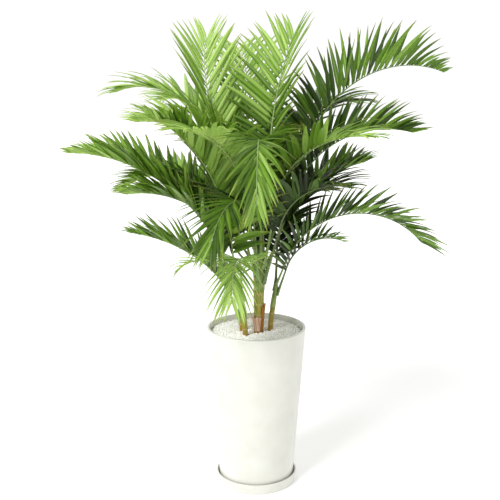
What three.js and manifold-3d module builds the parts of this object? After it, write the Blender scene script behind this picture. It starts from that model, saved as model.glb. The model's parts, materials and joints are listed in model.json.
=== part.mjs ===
// Potted palm: a clump of five ringed canes with arching feather fronds, in a tall tapered
// glazed pot that stands in its saucer. Millimetres, +Z up, the front faces -Y, and the
// origin is the middle of the saucer's underside.

import * as THREE from 'three';
import { mergeVertices } from 'three/addons/utils/BufferGeometryUtils.js';
import Module from 'manifold-3d';

const wasm = await Module();
wasm.setup();

// ---------------------------------------------------------------- driving dimensions

const SEAT_GAP = 0.3;           // left between a piece and the neighbour it is shaped by

const POT_HEIGHT = 565;
const POT_RIM_RADIUS = 175;
const POT_FOOT_RADIUS = 132;
const POT_WALL = 11;
const POT_FLOOR = 14;
const POT_LIP_ROUND = 5;
const POT_FOOT_ROUND = 4;
const DRAIN_RADIUS = 14;

const SAUCER_HEIGHT = 37;
const SAUCER_FLOOR = 10;
const SAUCER_WALL = 6;
const SAUCER_CLEARANCE = 2.5;   // all round, between the pot and the saucer's wall
const SAUCER_LIP = 2.5;         // how far the top edge turns out
const SAUCER_FOOT_ROUND = 3;

const MULCH_BELOW_RIM = 15;
const MULCH_DEPTH = 25;
const ROOT_DEPTH = 90;          // how far the canes reach down into the soil

const RING_PITCH = 38;          // leaf scars along a cane
const RING_BULGE = 0.9;
const RING_HALF_HEIGHT = 3;
const CROWN_TIP_SHARE = 0.6;    // radius at the crown's tip, as a share of its foot
const CROWN_SWELL = 1.12;       // the sheaths stand a little proud of the cane

const PETIOLE_RADIUS = 5.5;
const RACHIS_RADIUS = 3.8;      // where the leaflets begin
const RACHIS_TIP_RADIUS = 1.4;

const LEAFLET_PITCH = 50;
const LEAFLET_WIDTH = 17;
const LEAFLET_THICKNESS = 2.4;
const LEAFLET_CLEARANCE = 0.5;  // kept from everything that has already grown
const LEAFLET_WIDEST = 0.35;    // where along its length a leaflet is widest
const LONGEST_LEAFLET = 0.45;   // where along the blade the leaflets are longest
const LEAFLET_TAPER = 0.75;     // how quickly they shorten away from there

const FORE_AT_PETIOLE = 56;     // leaflet's angle from the midrib
const FORE_AT_TIP = 24;
const LEAFLET_LIFT = 32;        // how far a leaflet stands up out of the frond's plane
const LIFT_TRIES = [0, 10, -10, 20, -20, 32, -32, 45, -45];
const LENGTH_TRIES = [1, 0.8, 0.6];

const HUSK_THICKNESS = 1.6;
const HUSK_TRIM = 3;            // made this much too long, then cut level with the pebbles

// Facets: enough to read as round at the size of the piece.
const POT_FACETS = 40;
const CANE_FACETS = 10;
const RACHIS_FACETS = 5;
const LEAFLET_FACETS = 4;
const SPINE_STEPS = 12;
const CROWN_STEPS = 5;
const HUSK_STEPS = 4;
const HUSK_CHORDS = 8;
const ROUND_STEPS = 2;          // chords in a rounded edge

// ---------------------------------------------------------------- the plant's own layout

// One row per cane: x and y of its foot, x and y of its tip, the tip's height above the
// pebbles, its radius, and the length of the leaf sheaths that wrap its top.
const CANES = {
  main: [6, -8, 18, 0, 320, 16, 175],
  right: [44, 14, 70, 18, 160, 9, 85],
  left: [-46, 8, -62, 14, 160, 10, 135],
  front: [-34, -48, -50, -62, 120, 9, 60],
  back: [4, 52, 2, 74, 300, 13, 125],
};

// One row per frond, the nearest and most open ones first: its cane, the drop from the
// cane's tip, heading, rise, bend and sweep in degrees, the power that says how late it
// bends, and the lengths of its petiole, of the whole frond and of its longest leaflets.
const FRONDS = {
  top_back: ['main', 0, 45, 83, 24, 0, 1.2, 280, 720, 260],
  top_left: ['main', 30, 172, 72, 16, -105, 1, 250, 785, 250],
  right_high: ['main', 50, 10, 69, 98, 0, 1.15, 350, 1000, 230],
  front_high: ['main', 60, 268, 86, 175, 0, 0.9, 210, 840, 230],
  left_high: ['main', 70, 200, 80, 84, 0, 0.45, 300, 730, 210],
  front_left: ['main', 90, 232, 74, 70, 0, 0.8, 260, 640, 240],
  front_right: ['main', 95, 314, 76, 80, 0, 0.6, 240, 740, 220],
  right_mid: ['main', 115, -8, 71, 92, 0, 1, 260, 780, 220],
  left_rear: ['main', 130, 162, 75, 105, 0, 1.4, 300, 930, 230],
  right_low: ['right', 0, -4, 68, 124, 0, 1, 60, 650, 200],
  right_short: ['right', 40, 16, 70, 100, 0, 0.9, 90, 360, 110],
  right_inner: ['right', 25, 80, 76, 92, -45, 0.8, 120, 560, 200],
  left_long: ['left', 0, 176, 63, 66, 0, 1, 120, 790, 220],
  left_low: ['left', 100, 188, 66, 57, 0, 0.7, 60, 490, 180],
  front_low: ['front', 0, 262, 82, 190, 0, 0.8, 90, 400, 190],
  front_side: ['front', 36, 205, 74, 110, 0, 1, 90, 330, 150],
  right_rear: ['back', 50, 40, 70, 90, 0, 1.2, 260, 800, 230],
  back_high: ['back', 0, 100, 80, 70, 0, 1, 260, 860, 240],
  back_left: ['back', 25, 135, 70, 85, 0, 1, 260, 800, 230],
  back_mid: ['back', 15, 72, 66, 100, 0, 1, 240, 780, 220],
  back_low: ['back', 60, 92, 55, 100, 0, 1, 200, 700, 220],
  back_side: ['back', 75, 165, 56, 100, 0, 1, 200, 640, 200],
  left_mid: ['left', 50, 216, 83, 60, 0, 1.1, 160, 750, 250],
  left_back: ['back', 100, 186, 52, 62, 0, 1, 160, 540, 200],
  right_back: ['back', 110, 15, 60, 50, 0, 1, 180, 560, 210],
  front_mid: ['main', 140, 248, 80, 150, 0, 0.8, 160, 640, 230],
  right_under: ['main', 150, 322, 72, 82, 0, 0.8, 200, 550, 210],
};

// One row per dry husk at the main cane's foot: where it starts, how far round it goes
// in degrees, its height and how far it peels away at the top.
const HUSKS = {
  husk_front: [160, 130, 64, 16],
  husk_side: [298, 120, 105, 7],
};

// ---------------------------------------------------------------- derived levels

const saucerFloorTop = SAUCER_FLOOR;
const rimLevel = saucerFloorTop + POT_HEIGHT;
const potFloorTop = saucerFloorTop + POT_FLOOR;
const mulchTop = rimLevel - MULCH_BELOW_RIM;
const mulchBottom = mulchTop - MULCH_DEPTH;
const soilTop = mulchBottom - SEAT_GAP;
const rootLevel = soilTop - ROOT_DEPTH;

const degrees = THREE.MathUtils.degToRad;

// The pot's outer radius at a level: a straight taper from foot to rim.
function potRadius(level) {
  const share = (level - saucerFloorTop) / POT_HEIGHT;
  return POT_FOOT_RADIUS + (POT_RIM_RADIUS - POT_FOOT_RADIUS) * share;
}

// ---------------------------------------------------------------- geometry helpers

// A closed three.js geometry as a solid that can be joined, cut and measured.
function solidOf(geometry) {
  geometry.deleteAttribute('normal');
  geometry.deleteAttribute('uv');
  const merged = mergeVertices(geometry, 1e-3);
  const corners = merged.index.array;
  const kept = [];
  for (let i = 0; i < corners.length; i += 3) {
    const [a, b, c] = [corners[i], corners[i + 1], corners[i + 2]];
    if (a !== b && b !== c && c !== a) kept.push(a, b, c);
  }
  return new wasm.Manifold(new wasm.Mesh({
    numProp: 3,
    vertProperties: new Float32Array(merged.attributes.position.array),
    triVerts: new Uint32Array(kept),
  }));
}

function meshOf(name, solid, material) {
  const data = solid.getMesh();
  const geometry = new THREE.BufferGeometry();
  geometry.setAttribute('position', new THREE.BufferAttribute(data.vertProperties, 3));
  geometry.setIndex(new THREE.BufferAttribute(data.triVerts, 1));
  geometry.computeVertexNormals();
  const mesh = new THREE.Mesh(geometry, material);
  mesh.name = name;
  return mesh;
}

// A profile of [radius, level] corners, listed anticlockwise, turned about the Z axis.
function turned(profile, facets) {
  const points = profile.map(([radius, level]) => new THREE.Vector2(radius, level));
  const geometry = new THREE.LatheGeometry(points, facets);
  geometry.rotateX(Math.PI / 2);
  return solidOf(geometry);
}

// Corners of a rounded edge about a centre, from one angle to another, in degrees.
function roundedEdge(radius, level, round, from, to) {
  const corners = [];
  for (let i = 0; i <= ROUND_STEPS; i += 1) {
    const angle = degrees(from + ((to - from) * i) / ROUND_STEPS);
    corners.push([radius + round * Math.cos(angle), level + round * Math.sin(angle)]);
  }
  return corners;
}

// A straight stick stands on the Y axis; each of its rings moves to the frame at its height.
function bent(geometry, frameAt) {
  const position = geometry.attributes.position;
  const corner = new THREE.Vector3();
  const across = new THREE.Vector3();
  for (let i = 0; i < position.count; i += 1) {
    corner.fromBufferAttribute(position, i);
    const { point, side, along } = frameAt(corner.y);
    across.crossVectors(side, along);
    const moved = point.clone().addScaledVector(side, corner.x).addScaledVector(across, corner.z);
    position.setXYZ(i, moved.x, moved.y, moved.z);
  }
  return geometry;
}

// A stick of [radius, distance] corners, closed at both ends, along a run of frames.
function stick(corners, facets, frameAt) {
  const first = corners[0];
  const last = corners[corners.length - 1];
  const points = [[0, first[1]], ...corners, [0, last[1]]];
  const profile = points.map(([radius, distance]) => new THREE.Vector2(radius, distance));
  return solidOf(bent(new THREE.LatheGeometry(profile, facets), frameAt));
}

// ---------------------------------------------------------------- pot, saucer and filling

function saucer() {
  const inner = (level) => potRadius(level) + SAUCER_CLEARANCE;
  const foot = inner(saucerFloorTop) + SAUCER_WALL;
  const edge = SAUCER_WALL / 2;
  const lip = inner(SAUCER_HEIGHT) + edge + SAUCER_LIP;
  return turned([
    [0, 0],
    ...roundedEdge(foot - SAUCER_FOOT_ROUND, SAUCER_FOOT_ROUND, SAUCER_FOOT_ROUND, -90, 0),
    ...roundedEdge(lip, SAUCER_HEIGHT - edge, edge, 0, 90),
    ...roundedEdge(lip, SAUCER_HEIGHT - edge, edge, 90, 180),
    [inner(saucerFloorTop), saucerFloorTop],
    [0, saucerFloorTop],
  ], POT_FACETS);
}

function pot() {
  const foot = POT_FOOT_RADIUS - POT_FOOT_ROUND;
  const lip = POT_RIM_RADIUS - POT_LIP_ROUND;
  const lipLevel = rimLevel - POT_LIP_ROUND;
  const inner = (level) => potRadius(level) - POT_WALL;
  return turned([
    [DRAIN_RADIUS, saucerFloorTop],
    ...roundedEdge(foot, saucerFloorTop + POT_FOOT_ROUND, POT_FOOT_ROUND, -90, 0),
    ...roundedEdge(lip, lipLevel, POT_LIP_ROUND, 0, 90),
    ...roundedEdge(inner(lipLevel) + POT_LIP_ROUND, lipLevel, POT_LIP_ROUND, 90, 180),
    [inner(potFloorTop), potFloorTop],
    [DRAIN_RADIUS, potFloorTop],
    [DRAIN_RADIUS, saucerFloorTop],
  ], POT_FACETS);
}

// A layer that fills the pot between two levels.
function filling(bottom, top) {
  const reach = (level) => potRadius(level) - POT_WALL - SEAT_GAP;
  return turned([[0, bottom], [reach(bottom), bottom], [reach(top), top], [0, top]], POT_FACETS);
}

// ---------------------------------------------------------------- canes and crowns

function caneOf([footX, footY, tipX, tipY, height, radius, crownLength]) {
  const foot = new THREE.Vector3(footX, footY, rootLevel);
  const tip = new THREE.Vector3(tipX, tipY, mulchTop + height);
  const knee = new THREE.Vector3(footX, footY, mulchTop);
  const line = new THREE.QuadraticBezierCurve3(foot, knee, tip);
  const length = line.getLength();
  const frameAt = (distance) => {
    const share = distance / length;
    const along = line.getTangentAt(THREE.MathUtils.clamp(share, 0, 1));
    const point = line.getPointAt(THREE.MathUtils.clamp(share, 0, 1));
    point.addScaledVector(along, distance - THREE.MathUtils.clamp(distance, 0, length));
    const side = new THREE.Vector3(0, 1, 0).cross(along).normalize();
    return { point, side, along };
  };
  return { frameAt, length, radius, crownLength };
}

// The ringed stem, from its roots to where the leaf sheaths begin; grown all over by a gap.
// The rings begin above the pebbles.
function caneSolid(cane, gap) {
  const top = cane.length - cane.crownLength;
  const corners = [[cane.radius + gap, -gap]];
  const firstRing = ROOT_DEPTH + MULCH_DEPTH + RING_PITCH / 2;
  for (let ring = firstRing; ring < top - RING_HALF_HEIGHT; ring += RING_PITCH) {
    corners.push([cane.radius + gap, ring - RING_HALF_HEIGHT]);
    corners.push([cane.radius + RING_BULGE + gap, ring]);
    corners.push([cane.radius + gap, ring + RING_HALF_HEIGHT]);
  }
  corners.push([cane.radius + gap, top + gap]);
  return stick(corners, CANE_FACETS, cane.frameAt);
}

// Radius of the wrapped leaf sheaths at a distance below the cane's tip.
function crownRadius(cane, drop) {
  const share = THREE.MathUtils.clamp(1 - drop / cane.crownLength, 0, 1);
  return cane.radius * CROWN_SWELL * (1 - (1 - CROWN_TIP_SHARE) * share * share);
}

// The nested leaf sheaths at the top of a cane, grown all over by a gap.
function crownSolid(cane, gap) {
  const corners = [];
  for (let i = 0; i <= CROWN_STEPS; i += 1) {
    const drop = cane.crownLength * (1 - i / CROWN_STEPS);
    corners.push([crownRadius(cane, drop) + gap, cane.length - drop]);
  }
  corners[0][1] += SEAT_GAP - gap;
  corners[CROWN_STEPS][1] += gap;
  return stick(corners, CANE_FACETS, cane.frameAt);
}

// A dry sheath that has split and peels off the foot of a cane.
function husk(cane, [start, sweep, height, peel]) {
  const inner = cane.radius + RING_BULGE + SEAT_GAP;
  const outer = inner + HUSK_THICKNESS;
  const from = degrees(start);
  const to = degrees(start + sweep);
  const outline = new THREE.Shape();
  outline.absarc(0, 0, outer, from, to, false);
  outline.absarc(0, 0, inner, to, from, true);
  const geometry = new THREE.ExtrudeGeometry(outline, {
    depth: height,
    steps: HUSK_STEPS,
    curveSegments: HUSK_CHORDS,
    bevelEnabled: false,
  });
  const position = geometry.attributes.position;
  for (let i = 0; i < position.count; i += 1) {
    const rise = position.getZ(i) / height;
    const grow = 1 + (peel * rise * rise) / inner;
    position.setXYZ(i, position.getX(i) * grow, position.getY(i) * grow, position.getZ(i));
  }
  geometry.rotateX(-Math.PI / 2);
  geometry.translate(0, ROOT_DEPTH + MULCH_DEPTH - HUSK_TRIM, 0);
  const whole = solidOf(bent(geometry, cane.frameAt));
  return whole.subtract(filling(mulchBottom, mulchTop + SEAT_GAP));
}

const canes = Object.fromEntries(Object.entries(CANES).map(([name, row]) => [name, caneOf(row)]));

// ---------------------------------------------------------------- fronds

// The frames along a frond: it rises straight, then bends over and sweeps round beyond its
// petiole. Side points up out of the frond's plane, across points along its leaflets.
function spineOf(start, heading, rise, bend, sweep, curl, petiole, length) {
  const frames = [];
  const point = start.clone();
  const step = length / SPINE_STEPS;
  for (let i = 0; i <= SPINE_STEPS; i += 1) {
    const bladeShare = Math.max(0, (i * step - petiole) / (length - petiole));
    const elevation = degrees(rise - bend * bladeShare ** curl);
    const azimuth = degrees(heading + sweep * bladeShare);
    const along = new THREE.Vector3(
      Math.cos(elevation) * Math.cos(azimuth),
      Math.cos(elevation) * Math.sin(azimuth),
      Math.sin(elevation),
    );
    const across = new THREE.Vector3(-Math.sin(azimuth), Math.cos(azimuth), 0);
    const side = new THREE.Vector3().crossVectors(along, across);
    frames.push({ point: point.clone(), side, along, across });
    point.addScaledVector(along, step);
  }
  return frames;
}

// The frame at a distance along a frond, between the two nearest ones.
function frameOn(frames, length, distance) {
  const place = (distance / length) * SPINE_STEPS;
  const low = THREE.MathUtils.clamp(Math.floor(place), 0, SPINE_STEPS - 1);
  const share = place - low;
  const blend = (key) => frames[low][key].clone().lerp(frames[low + 1][key], share);
  return {
    point: blend('point'),
    side: blend('side').normalize(),
    along: blend('along').normalize(),
    across: blend('across').normalize(),
  };
}

// A frond stands on the skin of its crown, or grows from the crown's tip if it is the youngest.
function frondOf(row) {
  const [caneName, drop, heading, rise, bend, sweep, curl, petiole, length, leaflet] = row;
  const cane = canes[caneName];
  const seat = cane.frameAt(cane.length - drop);
  const outward = new THREE.Vector3(Math.cos(degrees(heading)), Math.sin(degrees(heading)), 0);
  const start = seat.point.addScaledVector(outward, drop > 0 ? crownRadius(cane, drop) : 0);
  const frames = spineOf(start, heading, rise, bend, sweep, curl, petiole, length);
  return { frames, petiole, length, leaflet, cane };
}

// Petiole and midrib in one, cut to sit against its crown.
function midrib(frond) {
  const corners = [];
  for (let i = 0; i <= SPINE_STEPS; i += 1) {
    const distance = (frond.length * i) / SPINE_STEPS;
    const blade = (distance - frond.petiole) / (frond.length - frond.petiole);
    const radius = blade > 0
      ? THREE.MathUtils.lerp(RACHIS_RADIUS, RACHIS_TIP_RADIUS, blade)
      : THREE.MathUtils.lerp(PETIOLE_RADIUS, RACHIS_RADIUS, distance / frond.petiole);
    corners.push([radius, distance]);
  }
  const frameAt = (distance) => frameOn(frond.frames, frond.length, distance);
  const whole = stick(corners, RACHIS_FACETS, frameAt);
  return whole.subtract(crownSolid(frond.cane, SEAT_GAP));
}

// A flat, pointed leaflet on the midrib: fore is its angle from the midrib's direction,
// lift the angle at which it stands up from the frond's plane.
function leafletSolid(frame, hand, fore, lift, length) {
  const root = new THREE.Vector2(0, 0);
  const shoulder = new THREE.Vector2(LEAFLET_WIDTH / 2, length * LEAFLET_WIDEST);
  const point = new THREE.Vector2(0, length);
  const geometry = new THREE.LatheGeometry([root, shoulder, point], LEAFLET_FACETS);
  geometry.scale(1, 1, LEAFLET_THICKNESS / LEAFLET_WIDTH);
  const out = frame.across.clone().multiplyScalar(hand * Math.cos(degrees(lift)));
  out.addScaledVector(frame.side, Math.sin(degrees(lift)));
  const run = frame.along.clone().multiplyScalar(Math.cos(degrees(fore)));
  run.addScaledVector(out, Math.sin(degrees(fore))).normalize();
  const breadth = frame.along.clone().addScaledVector(run, -frame.along.dot(run)).normalize();
  const flat = new THREE.Vector3().crossVectors(breadth, run);
  geometry.applyMatrix4(new THREE.Matrix4().makeBasis(breadth, run, flat).setPosition(frame.point));
  return solidOf(geometry);
}

// How long the leaflets are along the blade: longest near its middle, short at both ends.
function leafletLength(frond, blade) {
  return frond.leaflet * Math.cos(Math.PI * LEAFLET_TAPER * (blade - LONGEST_LEAFLET)) ** 0.8;
}

// ---------------------------------------------------------------- what is already in place

const placed = [];

function settle(solid, owner) {
  placed.push({ solid, owner, box: solid.boundingBox() });
}

function boxesNear(a, b, margin) {
  return [0, 1, 2].every((k) => a.min[k] - margin < b.max[k] && b.min[k] - margin < a.max[k]);
}

// True where a solid keeps its clearance from everything that other pieces have put there.
function isClear(solid, owner) {
  const box = solid.boundingBox();
  return placed.every((other) => (
    other.owner === owner
    || !boxesNear(box, other.box, LEAFLET_CLEARANCE)
    || solid.minGap(other.solid, 2 * LEAFLET_CLEARANCE) > LEAFLET_CLEARANCE
  ));
}

// A leaflet that would touch another frond turns up or down past it, or stays shorter.
function grownLeaflet(frond, owner, blade, hand) {
  const distance = frond.petiole + (frond.length - frond.petiole) * blade;
  const frame = frameOn(frond.frames, frond.length, distance);
  const fore = THREE.MathUtils.lerp(FORE_AT_PETIOLE, FORE_AT_TIP, blade);
  for (const share of LENGTH_TRIES) {
    for (const turn of LIFT_TRIES) {
      const length = leafletLength(frond, blade) * share;
      const leaflet = leafletSolid(frame, hand, fore, LEAFLET_LIFT + turn, length);
      if (isClear(leaflet, owner)) return leaflet;
    }
  }
  return null;
}

function leafletsOf(frond, owner) {
  const rows = Math.round((frond.length - frond.petiole) / LEAFLET_PITCH);
  const grown = [];
  for (let row = 0; row < rows; row += 1) {
    for (const hand of [-1, 1]) {
      const leaflet = grownLeaflet(frond, owner, (row + 0.5) / rows, hand);
      if (leaflet) grown.push(leaflet);
    }
  }
  return grown;
}

// ---------------------------------------------------------------- materials

function material(color, roughness) {
  return new THREE.MeshStandardMaterial({ color, roughness, metalness: 0 });
}

const glazedCeramic = material('#fbfbf4', 0.25);
const pottingSoil = material('#3a2a1c', 0.95);
const whitePebbles = material('#e9e6dc', 0.7);
const ringedCane = material('#7b8238', 0.55);
const leafSheath = material('#8a9a52', 0.5);
const drySheath = material('#8a5a28', 0.85);
const leafBlade = material('#5f8437', 0.45);

// ---------------------------------------------------------------- assembly

const palm = new THREE.Group();

// A filling with a hole for every cane.
function withSockets(layer) {
  return Object.values(canes).reduce((rest, cane) => rest.subtract(caneSolid(cane, SEAT_GAP)), layer);
}

function add(name, solid, look) {
  settle(solid, name);
  palm.add(meshOf(name, solid, look));
}

add('saucer', saucer(), glazedCeramic);
add('pot', pot(), glazedCeramic);
add('potting_soil', withSockets(filling(potFloorTop + SEAT_GAP, soilTop)), pottingSoil);
add('pebble_mulch', withSockets(filling(mulchBottom, mulchTop)), whitePebbles);

for (const [name, cane] of Object.entries(canes)) {
  add(`cane_${name}`, caneSolid(cane, 0), ringedCane);
  add(`sheaths_${name}`, crownSolid(cane, 0), leafSheath);
}
for (const [name, row] of Object.entries(HUSKS)) {
  add(name, husk(canes.main, row), drySheath);
}

const fronds = Object.entries(FRONDS).map(([name, row]) => {
  const frond = frondOf(row);
  const rib = midrib(frond);
  settle(rib, name);
  return { name, frond, rib };
});
for (const { name, frond, rib } of fronds) {
  const leaflets = leafletsOf(frond, name);
  leaflets.forEach((leaflet) => settle(leaflet, name));
  palm.add(meshOf(`frond_${name}`, wasm.Manifold.union([rib, ...leaflets]), leafBlade));
}

export default palm;
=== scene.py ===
"""A clump of feather palm in a tall white glazed pot on its saucer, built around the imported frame."""

import json
import math
import random
from collections import namedtuple

import bmesh
import bpy
from mathutils import Matrix, Vector

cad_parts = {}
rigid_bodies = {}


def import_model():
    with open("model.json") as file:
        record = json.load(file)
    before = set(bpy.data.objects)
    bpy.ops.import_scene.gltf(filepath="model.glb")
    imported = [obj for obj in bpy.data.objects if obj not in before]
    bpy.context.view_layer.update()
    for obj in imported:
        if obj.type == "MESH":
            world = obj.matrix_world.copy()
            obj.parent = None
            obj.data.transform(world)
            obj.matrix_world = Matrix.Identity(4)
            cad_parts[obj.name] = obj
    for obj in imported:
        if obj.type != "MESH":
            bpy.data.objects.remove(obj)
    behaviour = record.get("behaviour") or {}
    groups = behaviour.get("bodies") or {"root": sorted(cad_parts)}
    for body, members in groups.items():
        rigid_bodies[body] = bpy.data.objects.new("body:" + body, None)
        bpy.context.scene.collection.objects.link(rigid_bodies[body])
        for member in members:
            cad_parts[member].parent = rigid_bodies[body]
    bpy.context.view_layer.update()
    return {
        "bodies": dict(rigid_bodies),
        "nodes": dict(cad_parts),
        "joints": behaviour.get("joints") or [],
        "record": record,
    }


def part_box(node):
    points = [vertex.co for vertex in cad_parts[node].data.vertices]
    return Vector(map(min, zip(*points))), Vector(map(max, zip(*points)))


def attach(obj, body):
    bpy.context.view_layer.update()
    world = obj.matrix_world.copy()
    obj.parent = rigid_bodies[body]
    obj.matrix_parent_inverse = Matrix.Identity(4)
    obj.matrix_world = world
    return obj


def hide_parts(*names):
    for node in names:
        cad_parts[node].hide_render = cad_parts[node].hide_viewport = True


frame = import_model()

MM = 0.001
BODY = "root"

# ------------------------------------------------------------------ the plant's layout

# One row per cane: x and y of its foot, x and y of its tip, the tip's height above the
# pebbles, its radius, and the length of the leaf sheaths that wrap its top, in millimetres.
CANES = {
    "main": (6, -8, 18, 0, 320, 16, 175),
    "right": (44, 14, 70, 18, 160, 9, 85),
    "left": (-46, 8, -62, 14, 160, 10, 135),
    "front": (-34, -48, -50, -62, 120, 9, 60),
    "back": (4, 52, 2, 74, 300, 13, 125),
}

# One row per frond: its cane, the drop from the cane's tip, heading, rise, bend and sweep in
# degrees, the power that says how late it bends, and the lengths of its petiole, of the whole
# frond and of its longest leaflets, in millimetres.
Frond = namedtuple("Frond", "cane drop heading rise bend sweep curl petiole length leaflet")
FRONDS = {
    "top_back": Frond("main", 0, 45, 83, 24, 0, 1.2, 280, 720, 260),
    "top_left": Frond("main", 30, 172, 72, 16, -105, 1, 250, 785, 250),
    "right_high": Frond("main", 50, 10, 69, 98, 0, 1.15, 350, 1000, 230),
    "front_high": Frond("main", 60, 268, 86, 175, 0, 0.9, 210, 840, 230),
    "left_high": Frond("main", 70, 200, 80, 84, 0, 0.45, 300, 730, 210),
    "front_left": Frond("main", 90, 232, 74, 70, 0, 0.8, 260, 640, 240),
    "front_right": Frond("main", 95, 314, 76, 80, 0, 0.6, 240, 740, 220),
    "right_mid": Frond("main", 115, -8, 71, 92, 0, 1, 260, 780, 220),
    "left_rear": Frond("main", 130, 162, 75, 105, 0, 1.4, 300, 930, 230),
    "right_low": Frond("right", 0, -4, 68, 124, 0, 1, 60, 650, 200),
    "right_short": Frond("right", 40, 16, 70, 100, 0, 0.9, 90, 360, 110),
    "right_inner": Frond("right", 25, 80, 76, 92, -45, 0.8, 120, 560, 200),
    "left_long": Frond("left", 0, 176, 63, 66, 0, 1, 120, 790, 220),
    "left_low": Frond("left", 100, 188, 66, 57, 0, 0.7, 60, 490, 180),
    "front_low": Frond("front", 0, 262, 82, 190, 0, 0.8, 90, 400, 190),
    "front_side": Frond("front", 36, 205, 74, 110, 0, 1, 90, 330, 150),
    "right_rear": Frond("back", 50, 40, 70, 90, 0, 1.2, 260, 800, 230),
    "back_high": Frond("back", 0, 100, 80, 70, 0, 1, 260, 860, 240),
    "back_left": Frond("back", 25, 135, 70, 85, 0, 1, 260, 800, 230),
    "back_mid": Frond("back", 15, 72, 66, 100, 0, 1, 240, 780, 220),
    "back_low": Frond("back", 60, 92, 55, 100, 0, 1, 200, 700, 220),
    "back_side": Frond("back", 75, 165, 56, 100, 0, 1, 200, 640, 200),
    "left_mid": Frond("left", 50, 216, 83, 60, 0, 1.1, 160, 750, 250),
    "left_back": Frond("back", 100, 186, 52, 62, 0, 1, 160, 540, 200),
    "right_back": Frond("back", 110, 15, 60, 50, 0, 1, 180, 560, 210),
    "front_mid": Frond("main", 140, 248, 80, 150, 0, 0.8, 160, 640, 230),
    "right_under": Frond("main", 150, 322, 72, 82, 0, 0.8, 200, 550, 210),
}

# How each frond's leaflets are held: how far they stand up out of the frond's plane and how
# wide they open from the midrib, in degrees, how strongly they hang, how wide they are and how
# far apart they grow, in millimetres, what share of their length the last ones lose (or gain,
# where it is negative), and how light their green is, 0 to 1. This lightness is painted light
# and shade: each frond is set darker or lighter by how lit it looks, darkest for the fronds deep
# inside and under the plant, lightest for those out in the open.
Habit = namedtuple("Habit", "stand opening hang width pitch fading light")
HABITS = {
    "top_back": Habit(30, 50, 0.3, 18, 20, 0, 0.66),
    "top_left": Habit(30, 40, 0.3, 16, 20, 0, 0.8),
    "right_high": Habit(56, 60, 0.3, 16, 20, 0.5, 0.38),
    "front_high": Habit(14, 32, 0.5, 16, 20, 0, 0.48),
    "left_high": Habit(38, 46, 0.5, 18, 18, 0, 1.0),
    "front_left": Habit(20, 46, 0.8, 20, 17, 0, 0.9),
    "front_right": Habit(26, 42, 0.6, 18, 18, 0.2, 0.58),
    "right_mid": Habit(44, 54, 0.4, 17, 18, 0, 0.22),
    "left_rear": Habit(24, 46, 0.6, 20, 19, 0, 0.85),
    "right_low": Habit(32, 58, 0.3, 14, 17, -0.7, 0.32),
    "right_short": Habit(40, 50, 0.4, 10, 16, 0.2, 0.25),
    "right_inner": Habit(24, 44, 0.6, 20, 16, 0, 0.08),
    "left_long": Habit(40, 50, 0.45, 22, 14, 0.35, 0.56),
    "left_low": Habit(34, 44, 0.4, 18, 16, 0.2, 0.35),
    "front_low": Habit(10, 38, 0.9, 9, 12, 0, 0.82),
    "front_side": Habit(24, 44, 0.9, 9, 18, 0, 0.6),
    "right_rear": Habit(28, 48, 0.7, 18, 19, 0, 0.25),
    "back_high": Habit(32, 46, 0.4, 17, 20, 0, 0.8),
    "back_left": Habit(26, 46, 0.7, 20, 17, 0, 0.95),
    "back_mid": Habit(30, 46, 0.5, 18, 20, 0, 0.4),
    "back_low": Habit(26, 46, 0.6, 19, 20, 0, 0.08),
    "back_side": Habit(34, 54, 0.6, 22, 12, 0.2, 0.62),
    "left_mid": Habit(26, 50, 0.5, 22, 13, 0, 0.6),
    "left_back": Habit(34, 54, 0.5, 22, 12, 0, 0.55),
    "right_back": Habit(38, 50, 0.5, 20, 14, 0, 0.32),
    "front_mid": Habit(14, 34, 0.6, 17, 18, 0, 0.34),
    "right_under": Habit(28, 48, 0.6, 21, 14, 0.3, 0.06),
}

# Each dry husk: where it starts and how far round it goes in degrees, its height and how
# far it peels away at the top, in millimetres.
HUSKS = {"husk_front": (160, 130, 64, 16), "husk_side": (298, 120, 105, 7)}
FRESHLY_TORN = "husk_front"     # its inner cream shows

# ------------------------------------------------------------------ sizes

ROOT_DEPTH = 90 * MM
RING_PITCH = 38 * MM
RING_BULGE = 0.9 * MM
RING_HALF_HEIGHT = 3 * MM
CROWN_TIP_SHARE = 0.6
CROWN_SWELL = 1.12
CROWN_CAP = (0.8, 0.45)         # the last rings that close a crown, as shares of its tip
CROWN_CAP_RISE = 0.5            # how much flatter than a ball the cap is
CROWN_LAP = 0.045               # how far the outer sheath's edge stands out, as a share
PETIOLE_RADIUS = 5.5 * MM
GROOVE_DEPTH = 0.45             # of the petiole's radius
GROOVE_SPREAD = 32              # half width, in degrees
RACHIS_RADIUS = 3.6 * MM
RACHIS_TIP_RADIUS = 1.1 * MM
CLASP_SPREAD = 1.3              # how much wider a petiole's foot is where it wraps the crown
CLASP_REACH = 60 * MM
HUSK_THICKNESS = 1.6 * MM
HUSK_STAND_OFF = 0.4 * MM
HUSK_LIFT = 0.5 * MM
HUSK_RIPPLE = 0.5 * MM
HUSK_RIPPLES = 9                # waves in a full turn
HUSK_RIPPLE_TURN = 5            # how far the waves wander as they climb
HUSK_FRAY = (0.72, 1.0)         # each strand's height, as a share of the husk's
HUSK_COLUMNS = 22
HUSK_ROWS = 14

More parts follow.
